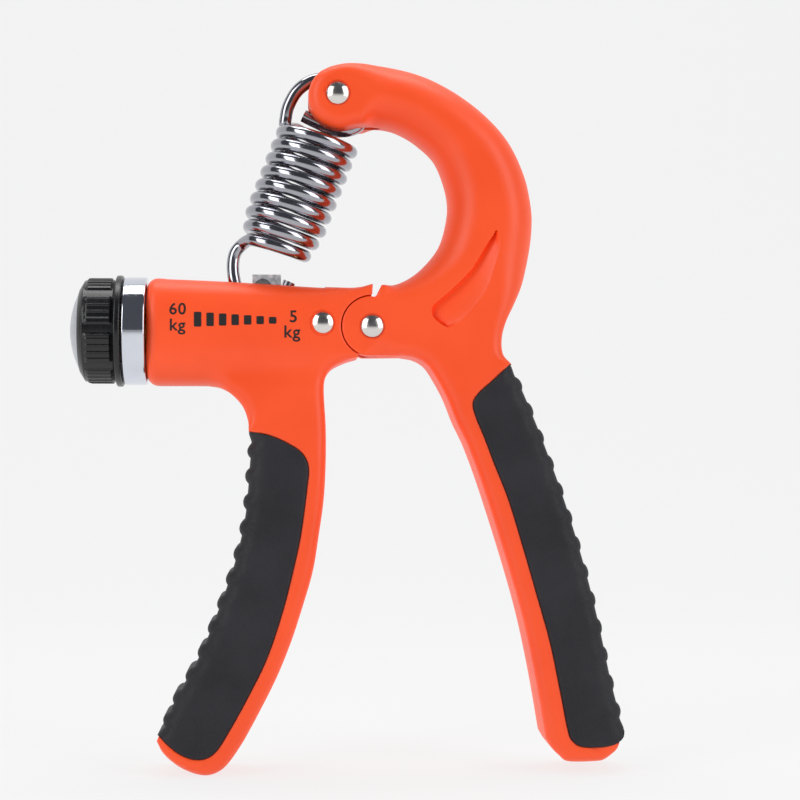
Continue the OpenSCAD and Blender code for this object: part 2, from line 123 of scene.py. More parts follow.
HOOK_INNER_EDGE = [
    (35.4, -83.8), (33.3, -71.7), (30.7, -59.5), (27.3, -47.4), (22.8, -33.2),
    (19.7, -24.7), (17.3, -19.6), (15.3, -14.6), (13.1, -10.5), (11.2, -7.8),
    (8.8, -6.4), (6, -5.9),
]
HOOK_INSIDE = [
    (1.9, 8.4), (5.2, 8.9), (8.6, 10.7), (11.7, 13.6), (14.1, 17), (15.4, 21.1),
    (15.9, 25.4), (15.1, 29.8), (13.1, 34.6), (9.8, 37.9), (6.4, 40.1), (3, 41.3),
    (-1.1, 41.5), (-4, 41.2),
]
HOOK_GRIP_INNER = [
    (28.1, -7.6), (24.6, -10.9), (21.8, -13.4), (20.5, -15.5), (21, -18.2),
    (23, -23.1), (24.8, -27.9), (27.7, -35.2), (30.7, -45), (33.5, -54.7),
    (36.2, -64.4), (38.2, -74.1), (39.8, -82.2), (40.7, -84.2), (42.2, -85.3), (44.6, -85.6),
]
# The leaf-shaped hollow below the hook, which is deepest along its left side.
LEAF_RIGHT = [
    (25.3, 19.6), (25.9, 16.2), (24.8, 12.1), (23.2, 7.5), (20.2, 3.4), (17.3, 0.6),
    (15.3, -0.2),
]
LEAF_LEFT = [
    (15.3, -0.2), (13.6, 0.8), (12.3, 2.2), (12.3, 4), (13.7, 5.3), (17.1, 8.3),
    (20.6, 12.1), (23.2, 16.4), (24.8, 18.8), (25.3, 19.6),
]
LEAF_DEPTH = 1.5


# ---------- curves ----------

def curve(points, step=0.6):
    """Smooth open path through the points, at an even step (a Catmull-Rom curve)."""
    p = np.array(points, float)
    p = np.vstack([2 * p[0] - p[1], p, 2 * p[-1] - p[-2]])
    fine = []
    for a, b, c, d in zip(p, p[1:], p[2:], p[3:]):
        t = np.linspace(0, 1, 24, endpoint=False)[:, None]
        fine.append(0.5 * (2 * b + (c - a) * t + (2 * a - 5 * b + 4 * c - d) * t**2
                           + (3 * b - a - 3 * c + d) * t**3))
    return even(np.vstack(fine + [p[-2:-1]]), step)


def run_along(path):
    """Distance along the path to each of its points."""
    return np.concatenate([[0], np.cumsum(np.linalg.norm(np.diff(path, axis=0), axis=1))])


def even(path, step):
    """The path, with its points moved to an even step."""
    run = run_along(path)
    count = max(2, int(round(run[-1] / step)) + 1)
    at = np.linspace(0, run[-1], count)
    return np.stack([np.interp(at, run, path[:, k]) for k in range(path.shape[1])], 1)


def arc(centre, radius, start, end, step=0.6):
    count = max(4, int(abs(math.radians(end - start)) * radius / step))
    a = np.radians(np.linspace(start, end, count + 1))
    return np.array(centre) + radius * np.stack([np.cos(a), np.sin(a)], 1)


def join(*runs):
    """One closed outline from runs of points, with doubled points left out."""
    points = np.vstack([np.array(run, float) for run in runs])
    gap = np.linalg.norm(points - np.roll(points, 1, axis=0), axis=1)
    return points[gap > 0.02]


def left_of(loop):
    """Unit vectors to the left of a closed loop's direction, one for each of its points."""
    along = np.roll(loop, -1, axis=0) - np.roll(loop, 1, axis=0)
    along /= np.linalg.norm(along, axis=1)[:, None]
    return np.stack([-along[:, 1], along[:, 0]], 1)


def smoothstep(low, high, value):
    t = np.clip((value - low) / (high - low), 0, 1)
    return t * t * (3 - 2 * t)


BATCH = 800  # points handled at a time, to save memory


def distance(points, path, closed=False):
    """Distance from each point to a path."""
    a, b = path, np.roll(path, -1, axis=0)
    if not closed:
        a, b = a[:-1], b[:-1]
    ab = b - a
    best = np.full(len(points), np.inf)
    for start in range(0, len(points), BATCH):
        p = points[start:start + BATCH, None]
        t = np.clip(((p - a) * ab).sum(2) / np.maximum((ab * ab).sum(1), 1e-12), 0, 1)
        gap = np.linalg.norm(p - (a + t[..., None] * ab), axis=2)
        best[start:start + BATCH] = gap.min(1)
    return best


def inside(points, outline):
    """Whether each point is inside the outline."""
    a, b = outline, np.roll(outline, -1, axis=0)
    result = np.zeros(len(points), bool)
    for start in range(0, len(points), BATCH):
        x, z = points[start:start + BATCH, :1], points[start:start + BATCH, 1:]
        crosses = (a[:, 1] > z) != (b[:, 1] > z)
        rise = np.where(b[:, 1] == a[:, 1], 1e-12, b[:, 1] - a[:, 1])
        at = a[:, 0] + (z - a[:, 1]) / rise * (b[:, 0] - a[:, 0])
        result[start:start + BATCH] = (crosses & (x < at)).sum(1) % 2 == 1
    return result


def rounded(d, radius, base, rise):
    """Half thickness at a distance d from an edge that is rounded over a radius."""
    t = np.clip(d / radius, 0, 1)
    return base + rise * np.sqrt(1 - (1 - t) ** 2)


# ---------- meshes ----------

# Distances from an outline at which its net has a ring of points.
RINGS = [0.03, 0.12, 0.3, 0.6, 1.0, 1.5, 2.1, 2.8, 3.6, 4.5, 5.5, 6.6]
COARSE_FROM = 2.0  # rings further in than this have half as many points
SEED_CLEAR = 0.12  # room kept round a seed point
SEED_TO_EDGE = 0.08


def area_of(loop):
    """Area inside a loop of points, positive where it runs anticlockwise."""
    ahead = np.roll(loop, -1, axis=0)
    return np.sum(loop[:, 0] * ahead[:, 1] - ahead[:, 0] * loop[:, 1]) / 2


def net(outline, seeds=(), step=1.3):
    """Points and triangles that fill an outline, close together near its edge and at the seeds."""
    if area_of(outline) < 0:
        outline = outline[::-1]
    inward = left_of(outline)
    layers = []
    for d in RINGS:
        ring = (outline + inward * d)[:: 1 if d < COARSE_FROM else 2]
        ring = ring[inside(ring, outline)]
        near = distance(ring, outline, True)
        layers.append(ring[near > d * 0.93 - 0.004])  # leaves out folds at inside corners
    low, high = outline.min(0), outline.max(0)
    gx, gz = np.meshgrid(np.arange(low[0], high[0], step), np.arange(low[1], high[1], step))
    grid = np.stack([gx.ravel(), gz.ravel()], 1)
    grid = grid[inside(grid, outline)]
    grid = grid[distance(grid, outline, True) > RINGS[-1] + 0.5]
    extra = [np.array(seed, float) for seed in seeds]
    extra = [seed[inside(seed, outline)] for seed in extra]
    extra = [seed[distance(seed, outline, True) > SEED_TO_EDGE] for seed in extra if len(seed)]
    free = np.vstack(layers + [grid])
    if extra:
        marks = np.vstack(extra)
        for start in range(0, len(marks), 400):
            gap = np.linalg.norm(free[:, None] - marks[start:start + 400], axis=2).min(1)
            free = free[gap > SEED_CLEAR]
        free = np.vstack([free, marks])
    points = np.vstack([outline, free])
    count = len(outline)
    edges = [(i, (i + 1) % count) for i in range(count)]
    verts, _, faces, *_ = delaunay_2d_cdt([Vector(p) for p in points], edges, [], 1, 1e-5)
    points = np.array([tuple(v) for v in verts])
    return points, [f if area_of(points[list(f)]) > 0 else f[::-1] for f in map(tuple, faces)]


def rim_edges(faces):
    """Directed edges that only one triangle uses."""
    directed = {(f[i], f[(i + 1) % len(f)]) for f in faces for i in range(len(f))}
    return [(a, b) for a, b in directed if (b, a) not in directed]


def to_row(points, depth):
    """Outline points and depths, in mm from the hinge pin, as corners in metres in the row's frame."""
    return [((x + PIVOT[0]) * MM, y * MM, (z + PIVOT[2]) * MM) for (x, z), y in zip(points, depth)]


def make(name, verts, faces, material, smooth=38, closed=True):
    """A smooth-shaded mesh. Only a closed one has its faces turned outwards here."""
    mesh = bpy.data.meshes.new(name)
    mesh.from_pydata(verts, [], faces)
    mesh.validate()
    work = bmesh.new()
    work.from_mesh(mesh)
    bmesh.ops.remove_doubles(work, verts=work.verts, dist=2e-6)
    bmesh.ops.dissolve_degenerate(work, edges=work.edges, dist=1e-7)
    if closed:
        bmesh.ops.recalc_face_normals(work, faces=work.faces)
    work.to_mesh(mesh)
    work.free()
    mesh.shade_smooth()
    mesh.set_sharp_from_angle(angle=math.radians(smooth))
    mesh.materials.append(material)
    obj = bpy.data.objects.new(name, mesh)
    bpy.context.scene.collection.objects.link(obj)
    return obj


EDGE_R = 2.4  # rounding of the handles' free edges
CRISP_R = 0.35  # rounding of edges that meet another piece
SEAM = 0.12  # chamfer along the joint between the front and back shells


def half_shell(name, side, outline, seeds, outer, inner, material):
    """One half shell: its outer and inner surfaces are depths over the outline."""
    points, faces = net(outline, seeds)
    out, deep = outer(points), inner(points)
    deep = np.minimum(deep, out)
    n = len(points)
    rim = rim_edges(faces)
    rim_points = sorted({a for edge in rim for a in edge})
    place = {a: i for i, a in enumerate(rim_points)}
    normal = np.zeros((n, 2))
    for a, b in rim:
        edge = points[b] - points[a]
        normal[a] += (-edge[1], edge[0])
        normal[b] += (-edge[1], edge[0])
    size = np.maximum(np.linalg.norm(normal, axis=1), 1e-9)
    inward = normal / size[:, None]
    at_seam = (deep < 0.01) & (size > 1e-6) & (out > 0.5)  # rim points where two halves meet
    inner_points = points + inward * SEAM * at_seam[:, None]
    middle = np.where(at_seam, np.minimum(SEAM, out), deep)[rim_points]
    verts = to_row(points, side * out) + to_row(inner_points, side * deep)
    verts += to_row(points[rim_points], side * middle)
    all_faces = list(faces) + [tuple(i + n for i in f[::-1]) for f in faces]
    for a, b in rim:
        ma, mb = 2 * n + place[a], 2 * n + place[b]
        all_faces += [(a, ma, mb, b), (ma, a + n, b + n, mb)]
    if side > 0:
        all_faces = [f[::-1] for f in all_faces]
    return make(name, verts, all_faces, material, closed=False)


def full_slab(name, outline, outer, material, smooth):
    """A piece whose front and back are the same surface, with a wall between them."""
    points, faces = net(outline)
    out = outer(points)
    n = len(points)
    rim = rim_edges(faces)
    rim_points = sorted({a for edge in rim for a in edge})
    place = {a: i for i, a in enumerate(rim_points)}
    bands = 5  # rows of faces in the wall
    verts = to_row(points, -out) + to_row(points, out)
    for k in range(1, bands):
        verts += to_row(points[rim_points], out[rim_points] * (2 * k / bands - 1))
    count = len(rim_points)

    def level(a, k):
        return a if k == 0 else a + n if k == bands else 2 * n + (k - 1) * count + place[a]

    all_faces = list(faces) + [tuple(i + n for i in f[::-1]) for f in faces]
    for a, b in rim:
        for k in range(bands):
            all_faces.append((level(a, k), level(a, k + 1), level(b, k + 1), level(b, k)))
    return make(name, verts, all_faces, material, smooth)


def tube_faces(rows, sides):
    """Faces between rows of corners, where each row is a closed ring."""
    faces = []
    for i in range(rows - 1):
        for k in range(sides):
            j = (k + 1) % sides
            faces.append((i * sides + k, i * sides + j, (i + 1) * sides + j, (i + 1) * sides + k))
    return faces


def lathe(name, profile, body, material, at=(0, AXIS_Z), across=False, sides=160, ripple=None,
          smooth=40):
    """Turns a profile of (distance along the axis, radius). The axis is the barrel's, or runs
    through the thickness where across is true. ripple(x, angle) is added to the radius."""
    verts = []
    for x, r in profile:
        for k in range(sides):
            a = math.tau * k / sides
            radius = r + (ripple(x, a) if ripple and r > 0 else 0)
            u, v = radius * math.cos(a), radius * math.sin(a)
            spot = (at[0] + u, x, at[1] + v) if across else (x, u, at[1] + v)
            verts.append(((spot[0] + PIVOT[0]) * MM, spot[1] * MM, (spot[2] + PIVOT[2]) * MM))
    obj = make(name, verts, tube_faces(len(profile), sides), material, smooth)
    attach(obj, body)
    return obj


def bent_corner(x, r, radius, start, end, steps=6):
    """Points round a small rounded corner of a profile."""
    angles = [math.radians(start + (end - start) * i / steps) for i in range(steps + 1)]
    return [(x + radius * math.cos(a), r + radius * math.sin(a)) for a in angles]


def wire(name, path, radius, material, sides=20, close_start=True, close_end=True):
    """Round wire along a path of points in the row's frame, in metres. A closed end is flat."""
    path = np.array(path, float)
    tangents = np.gradient(path, axis=0)
    tangents /= np.linalg.norm(tangents, axis=1)[:, None]
    normal = np.cross(tangents[0], (0.3, 0.1, 0.9))
    normal /= np.linalg.norm(normal)
    verts = []
    angles = np.linspace(0, math.tau, sides, endpoint=False)
    for p, t in zip(path, tangents):
        normal = normal - t * normal.dot(t)
        normal /= np.linalg.norm(normal)
        other = np.cross(t, normal)
        for a in angles:
            verts.append(p + radius * (math.cos(a) * normal + math.sin(a) * other))
    faces = tube_faces(len(path), sides)
    if close_start:
        faces.append(tuple(reversed(range(sides))))
    if close_end:
        faces.append(tuple((len(path) - 1) * sides + k for k in range(sides)))
    return make(name, [tuple(v) for v in verts], faces, material, 60)


# ---------- materials ----------

def new_material(name):
    material = bpy.data.materials.new(name)
    material.use_nodes = True
    nodes = material.node_tree.nodes
    return material, nodes, material.node_tree.links, nodes["Principled BSDF"]


def add_noise(nodes, links, scale, detail):
    place = nodes.new("ShaderNodeTexCoord")
    noise = nodes.new("ShaderNodeTexNoise")
    noise.inputs["Scale"].default_value = scale
    noise.inputs["Detail"].default_value = detail
    links.new(place.outputs["Object"], noise.inputs["Vector"])
    return noise.outputs["Fac"]


def ramp(nodes, links, noise, low, high):
    """Maps the middle of a noise's range to a range of values or colours."""
    node = nodes.new("ShaderNodeValToRGB")
    for element, position, value in zip(node.color_ramp.elements, (0.35, 0.65), (low, high)):
        element.position = position
        element.color = (*value, 1) if isinstance(value, tuple) else (value, value, value, 1)
    links.new(noise, node.inputs["Fac"])
    return node.outputs["Color"]


def add_bump(nodes, links, shader, source, strength, depth):
    """Fine relief. The depth is in metres."""
    bump = nodes.new("ShaderNodeBump")
    bump.inputs["Strength"].default_value = strength
    bump.inputs["Distance"].default_value = depth
    links.new(source, bump.inputs["Height"])
    links.new(bump.outputs["Normal"], shader.inputs["Normal"])


def moulded_plastic(name, dark, light, rough, coat=0.0):
    material, nodes, links, shader = new_material(name)
    cloud = add_noise(nodes, links, 60, 3)
    links.new(ramp(nodes, links, cloud, dark, light), shader.inputs["Base Color"])
    fine = add_noise(nodes, links, 3200, 5)
    links.new(ramp(nodes, links, fine, rough - 0.05, rough + 0.07), shader.inputs["Roughness"])
    add_bump(nodes, links, shader, fine, 0.25, 0.02 * MM)
    shader.inputs["IOR"].default_value = 1.49
    shader.inputs["Coat Weight"].default_value = coat
    shader.inputs["Coat Roughness"].default_value = 0.2
    return material


def grip_rubber():
    material, nodes, links, shader = new_material("grip_rubber")
    cloud = add_noise(nodes, links, 90, 4)
    colour = ramp(nodes, links, cloud, (0.016, 0.016, 0.020), (0.024, 0.024, 0.029))
    links.new(colour, shader.inputs["Base Color"])
    pores = add_noise(nodes, links, 2400, 8)
    links.new(ramp(nodes, links, pores, 0.5, 0.68), shader.inputs["Roughness"])
    add_bump(nodes, links, shader, pores, 0.6, 0.06 * MM)
    shader.inputs["Specular IOR Level"].default_value = 0.28
    return material


def metal(name, colour, rough):
    material, nodes, links, shader = new_material(name)
    cloud = add_noise(nodes, links, 120, 3)
    dark = tuple(c * 0.93 for c in colour)
    links.new(ramp(nodes, links, cloud, dark, colour), shader.inputs["Base Color"])
    fine = add_noise(nodes, links, 900, 6)
    links.new(ramp(nodes, links, fine, rough * 0.8, rough * 1.4), shader.inputs["Roughness"])
    add_bump(nodes, links, shader, fine, 0.3, 0.004 * MM)
    shader.inputs["Metallic"].default_value = 1
    return material


ORANGE = moulded_plastic("orange_plastic", (0.95, 0.078, 0.010), (1.0, 0.090, 0.014), 0.44)
BLACK = moulded_plastic("knob_plastic", (0.003, 0.003, 0.004), (0.006, 0.006, 0.008), 0.3, 0.1)
INK = moulded_plastic("scale_ink", (0.004, 0.003, 0.003), (0.008, 0.006, 0.006), 0.6)
RUBBER = grip_rubber()
CHROME = metal("chrome", (0.7, 0.73, 0.8), 0.08)
NICKEL = metal("nickel", (0.74, 0.71, 0.68), 0.17)
SPRING_STEEL = metal("spring_steel", (0.4, 0.4, 0.44), 0.13)
CAP_METAL = metal("cap_metal", (0.5, 0.52, 0.57), 0.26)
ZINC = metal("zinc_steel", (0.6, 0.62, 0.66), 0.28)
CARRIAGE_STEEL = metal("carriage_steel", (0.85, 0.85, 0.87), 0.36)
BRASS = metal("brass", (0.78, 0.56, 0.24), 0.25)


# ---------- barrel handle ----------

EAR_GAP_EDGE = arc((0, 0), EAR_R + HINGE_GAP, 249, 91.5)  # hollow that the ears turn in
GAP_SIDE = [(0.0, 6.6), (0.1, 8.4)]  # left side of the notch above the hinge


def barrel_top_at(x):
    top = curve(BARREL_TOP)[::-1]
    return np.interp(x, top[:, 0], top[:, 1])


def barrel_half(x):
    """Middle height and half height of the barrel at x, and what the rounding of its end takes off."""
    top = barrel_top_at(x)
    into = np.clip(END_ROUND - (x - BARREL_END_X), 0, END_ROUND)
    lost = END_ROUND - np.sqrt(END_ROUND**2 - into**2)
    return (top + BARREL_BOTTOM) / 2, (top - BARREL_BOTTOM) / 2 - lost, lost


def barrel_depth(x, z):
    """Half depth of the barrel, whose section is between a circle and a rounded square."""
    middle, half, lost = barrel_half(x)
    up = np.clip(np.abs(z - middle) / half, 0, 1)
    return (BARREL_HALF - lost) * (1 - up**3) ** (1 / 3)


def slot_edge(x):
    """Height at which the barrel's round side reaches the wall of the slot."""
    middle, half, _ = barrel_half(x)
    return middle + half * (1 - (SLOT_HALF / BARREL_HALF) ** 3) ** (1 / 3)


def barrel_silhouette():
    top = curve(BARREL_TOP)
    right = top[top[:, 0] > SLOT[1]]
    left = top[top[:, 0] < SLOT[0]]
    along = np.linspace(SLOT[1], SLOT[0], 60)
    notch = np.stack([along, slot_edge(along)], 1)
    x = BARREL_END_X
    end_top = arc((x + END_ROUND, barrel_top_at(x) - END_ROUND), END_ROUND, 90, 180)
    end_bottom = arc((x + END_ROUND, BARREL_BOTTOM + END_ROUND), END_ROUND, 180, 270)
    return join(
        right, [(SLOT[1], barrel_top_at(SLOT[1]))], notch, [(SLOT[0], barrel_top_at(SLOT[0]))],
        left, end_top, even(np.array([(x, 7.5), (x, -9.5)]), 0.6), end_bottom,
        even(np.array([(x + 2.5, BARREL_BOTTOM), (-34, BARREL_BOTTOM)]), 0.6),
        curve(BARREL_OUTER_EDGE[:6]), curve(BARREL_GRIP_INNER), curve(BARREL_FOOT),
        curve(BARREL_INNER_EDGE)[:-1],
        EAR_GAP_EDGE[1:], even(np.array(GAP_SIDE), 0.4),
    )


def seat_rings(centre):
    """Points round a rivet's seat."""
    return [arc(centre, r, 0, 354, 0.45) for r in (RIVET_HEAD_R + 0.1, RIVET_HEAD_R + 0.22, 1.2, 3.4)]


def rivet_seat(points, centre):
    return COUNTERBORE * (np.linalg.norm(points - centre, axis=1) < RIVET_HEAD_R + 0.15)


def face(points, outline, crisp, radius, rise):
    """Half thickness of a flat handle: its edge is rounded, but barely so along the crisp paths."""
    edge = distance(points, outline, True)
    to_crisp = np.min([distance(points, path) for path in crisp], axis=0)
    soft = smoothstep(0.0, 2.5, to_crisp - edge)
    wide = rounded(edge, radius, HALF - rise, rise)
    tight = rounded(edge, CRISP_R, HALF - CRISP_R, CRISP_R)
    return np.maximum(wide, tight * (1 - soft) + wide * soft)


def barrel_outer(outline):
    crisp = [EAR_GAP_EDGE, np.array(GAP_SIDE), curve(BARREL_GRIP_INNER)]

    def depth(points):
        x, z = points[:, 0], points[:, 1]
        flat = face(points, outline, crisp, EDGE_R, EDGE_R)
        # The barrel is round. The arm, the hinge and what is below the barrel are flat.
        arm = smoothstep(-35, -29, x) * (1 - smoothstep(-12, -5, z))
        hinge = smoothstep(-16, -4, x)
        below = 1 - smoothstep(-14, -12.2, z)
        weight = 1 - (1 - arm) * (1 - hinge) * (1 - below)
        result = barrel_depth(x, z) * (1 - weight) + flat * weight
        return result - rivet_seat(points, BARREL_RIVET_AT)
    return depth


def barrel_inner(points):
    x, z = points[:, 0], points[:, 1]
    in_slot = (x > SLOT[0]) & (x < SLOT[1]) & (z > SLOT_FLOOR)
    in_bore = (x > BORE[0]) & (x < BORE[1])
    bore = np.sqrt(np.clip(BORE_R**2 - (z - AXIS_Z) ** 2, 0, None)) * in_bore
    return np.maximum(bore, SLOT_HALF * in_slot)


def frame_lines(x0, x1, z0, z1, gap=0.06):
    """Pairs of points on both sides of a rectangle's edges."""
    lines = []
    for x in (x0, x1):
        for side in (-gap, gap):
            lines.append(even(np.array([(x + side, z0), (x + side, z1)]), 0.8))
    for z in (z0, z1):
        for side in (-gap, gap):
            lines.append(even(np.array([(x0, z + side), (x1, z + side)]), 0.8))
    return lines


def tongue(side):
    """The part of a half shell that lies between the ears of the hinge."""
    root = even(np.array([(-8.5, 4.6), (-8.5, -4.6)]), 0.6)
    outline = join(arc((0, 0), EAR_R - 0.35, -128, 128, 0.5), root)
    points, faces = net(outline)
    n = len(points)
    verts = to_row(points, np.full(n, side * TONGUE_HALF)) + to_row(points, np.zeros(n))
    all_faces = list(faces) + [tuple(i + n for i in f[::-1]) for f in faces]
    for a, b in rim_edges(faces):
        all_faces.append((a, b, b + n, a + n))
    return make("tongue", verts, all_faces, ORANGE)


def join_meshes(main, other):
    """Adds the other object's mesh to the main one."""
    work = bmesh.new()
    work.from_mesh(main.data)
    work.from_mesh(other.data)
    bpy.data.objects.remove(other)
    work.to_mesh(main.data)
    work.free()


def barrel_shells():
    outline = barrel_silhouette()
    seeds = seat_rings(BARREL_RIVET_AT) + frame_lines(*BORE, AXIS_Z - BORE_R, AXIS_Z + BORE_R)
    seeds += frame_lines(*SLOT, SLOT_FLOOR, 20)
    for side, name in ((FRONT, "front"), (BACK, "back")):
        shell = half_shell("barrel_shell_" + name, side, outline, seeds, barrel_outer(outline),
                           barrel_inner, ORANGE)
        join_meshes(shell, tongue(side))
        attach(shell, "barrel_handle")
        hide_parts("barrel_handle_" + name)


# ---------- hook handle ----------

EAR_EDGE = arc((0, 0), EAR_R, -106, -264)


def hook_silhouette():
    return join(
        curve(HOOK_OUTER_EDGE), curve(HOOK_GRIP_INNER), curve(HOOK_FOOT), curve(HOOK_INNER_EDGE),
        EAR_EDGE, [(0.5, 6.0), (0.9, 6.3)],
        curve(HOOK_INSIDE)[:-1], arc(TIP_DISC, TIP_DISC_R, -70, -231)[:-1],
    )


def hook_outer(outline):
    left, right = curve(LEAF_LEFT), curve(LEAF_RIGHT)
    leaf = join(right, left)
    grip_end = np.array([HOOK_GRIP_INNER[-1], HOOK_FOOT[0]], float)
    gap_side = np.array([(0.9, 6.3), (1.9, 8.4)])
    crisp = [EAR_EDGE, gap_side, curve(HOOK_GRIP_INNER), grip_end]

    def depth(points):
        x, z = points[:, 0], points[:, 1]
        # The hook is nearly round. It gets flat towards the hinge and at the spring's rivet.
        reach = 1.4 + 4.5 * np.clip((z - 43) / 9, 0, 1)
        round_ = smoothstep(0, 16, z) * smoothstep(-0.6 - reach, -0.6 + reach, x)
        result = face(points, outline, crisp, EDGE_R + 4.2 * round_, EDGE_R + 5.6 * round_)
        to_left, to_right = distance(points, left), distance(points, right)
        floor = LEAF_DEPTH * (to_right / (to_left + to_right + 1e-6)) ** 0.8
        result = result - floor * inside(points, leaf)
        return result - rivet_seat(points, TIP_AT) - rivet_seat(points, np.zeros(2))
    return depth


def hook_inner(points):
    hinge = np.linalg.norm(points, axis=1) < EAR_R + 0.3
    slot = np.linalg.norm(points - TIP_AT, axis=1) < TIP_SLOT_R
    return np.maximum(EAR_INSIDE * hinge, TIP_SLOT_HALF * slot)


def hook_seeds():
    """Extra points at the rivets' seats, the leaf's edge, the ears and the spring's slot."""
    leaf = join(curve(LEAF_RIGHT, 0.5), curve(LEAF_LEFT, 0.5))
    across = left_of(leaf)
    seeds = seat_rings(TIP_AT) + seat_rings((0, 0))
    for shift in (-0.7, -0.3, -0.06, 0.06, 0.3, 0.7):
        seeds.append(leaf + across * shift)
    for r in (EAR_R + 0.25, EAR_R + 0.35):
        seeds.append(arc((0, 0), r, 0, 358, 0.6))
    for r in (TIP_SLOT_R - 0.05, TIP_SLOT_R + 0.05):
        seeds.append(arc(TIP_AT, r, 0, 358, 0.6))
    return seeds


def hook_shells():
    outline = hook_silhouette()
    for side, name in ((FRONT, "front"), (BACK, "back")):
        shell = half_shell("hook_shell_" + name, side, outline, hook_seeds(), hook_outer(outline),
                           hook_inner, ORANGE)
        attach(shell, "hook_handle")
        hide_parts("hook_handle_" + name)


# ---------- rubber grips ----------

BUMP_H = 0.8  # height of the bumps on the left grip
BUMP_W = 1.5  # half the width of a bump
GRIP_PROUD = 0.35  # how far a grip stands out from its handle's face


def bumpy(edge, count, side, relief):
    """A grip's outer edge with evenly spaced bumps, which fade at its two ends. The edge is at
    the bumps' tops, and side is the sign of the normal that points out of the grip."""
    path = curve(edge, 0.25)
    run = run_along(path)
    pitch = run[-1] / (count + 0.4)
    away = np.abs((run / pitch - 0.7) - np.round(run / pitch - 0.7)) * pitch
    height = np.sqrt(np.clip(1 - (away / BUMP_W) ** 2, 0, 1)) ** 1.3
    to_end = np.minimum(run, run[-1] - run)
    fade = smoothstep(0, 4, to_end)
    along = np.gradient(path, axis=0)
    along /= np.linalg.norm(along, axis=1)[:, None]
    out = np.stack([-along[:, 1], along[:, 0]], 1) * side
    return path + out * ((height * fade - 1) * smoothstep(0, 2.5, to_end) * relief)[:, None]


def grip(name, inner_edge, outer_edge, count, side, relief, body):
    inner_path = curve(inner_edge, 0.5)
    rim = bumpy(outer_edge, count, side, relief)
    outline = join(inner_path, rim[::-1])
    base = HALF + GRIP_PROUD
    rim_r, rim_rise = 3.4, 3.2
    inner_r, inner_rise = 0.6, 0.7

    def depth(points):
        at_rim = rounded(distance(points, rim), rim_r, base - rim_rise, rim_rise)
        at_inner = rounded(distance(points, inner_path), inner_r, base - inner_rise, inner_rise)
        return np.minimum(at_rim, at_inner)

    piece = full_slab(name, outline, depth, RUBBER, 50)
    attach(piece, body)
    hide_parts(name[:-7])


# ---------- rivets, knob and metal parts ----------

def rivet(name, at, body):
    """A rivet's shank and its two shallow domed heads."""
    rise, edge = 0.95, HALF - COUNTERBORE
    ball = (RIVET_HEAD_R**2 + rise**2) / (2 * rise)
    spread = math.asin(RIVET_HEAD_R / ball)
    half = []
    for i in range(13):
        a = spread * (1 - i / 12)
        half.append((edge + rise - ball + ball * math.cos(a), ball * math.sin(a)))
    half[-1] = (half[-1][0], 0.0)
    start = [(edge - 0.3, 2.0), (edge - 0.3, RIVET_HEAD_R - 0.1)] + half
    profile = [(-x, r) for x, r in start[::-1]] + start
    piece = lathe(name + "_polished", profile, body, NICKEL, at=at, across=True, sides=72, smooth=50)
    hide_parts(name)


def knob():
    """Black knob with raised pads, a rim beside the collar and a sloping nose."""
    first, last, rim = -58.9, -50.9, -52.2
    body_r, rim_r, nose_r = 10.4, 11.45, 8.5
    pad_count, rib_count = 8, 48
    pad_h, rib_h = 0.42, 0.16

    def pads(x, angle):
        along = smoothstep(-58.4, -57.6, x) * (1 - smoothstep(-53.1, -52.6, x))
        beat = abs((angle * pad_count / math.tau) % 1 - 0.5) * 2
        ribs = rib_h * float(abs((angle * rib_count / math.tau) % 1 - 0.5) < 0.14)
        return (pad_h + ribs) * float(along) * float(1 - smoothstep(0.68, 0.8, beat))

    profile = [(-59.2, 0.0), (-59.2, nose_r - 0.1), (-59.65, nose_r), (-59.7, nose_r + 0.15)]
    profile += bent_corner(first + 0.45, body_r - 0.4, 0.4, 120, 90)
    profile += [(x, body_r) for x in np.arange(-58.3, -52.6, 0.25)]
    profile += [(rim - 0.35, body_r), (rim - 0.2, body_r + 0.15)]
    profile += bent_corner(rim + 0.35, rim_r - 0.35, 0.35, 180, 90)
    profile += bent_corner(last - 0.35, rim_r - 0.35, 0.35, 90, 0)
    profile += [(last, 7.2), (last, 3.05), (last - 2, 3.0)]
    piece = lathe("knob_fluted", profile, "knob", BLACK, sides=320, ripple=pads, smooth=32)
    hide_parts("knob")


def knob_cap():
    """Low dome on the knob's end."""
    rise, radius = 2.1, 8.35
    ball = (radius**2 + rise**2) / (2 * rise)
    spread = math.asin(radius / ball)
    tip_x = -61.8
    profile = []
    for i in range(17):
        a = spread * i / 16
        profile.append((tip_x + ball - ball * math.cos(a), max(ball * math.sin(a), 0.0)))
    profile += [(tip_x + rise + 0.45, radius - 0.05), (tip_x + rise + 0.45, 0.0)]
    piece = lathe("knob_cap_dome", profile, "knob", CAP_METAL, sides=128)
    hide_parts("knob_cap")


def collar():
    first, last, outer, hole = -50.6, -45.95, 11.1, 9.0
    corner, bevel = 0.35, 0.3
    profile = [(first + bevel, hole), (first, hole + bevel)]
    profile += bent_corner(first + corner, outer - corner, corner, 180, 90)
    profile += bent_corner(last - corner, outer - corner, corner, 90, 0)
    profile += [(last, hole + bevel), (last - bevel, hole), (first + bevel, hole)]
    piece = lathe("collar_ring", profile, "barrel_handle", CHROME)
    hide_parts("collar")


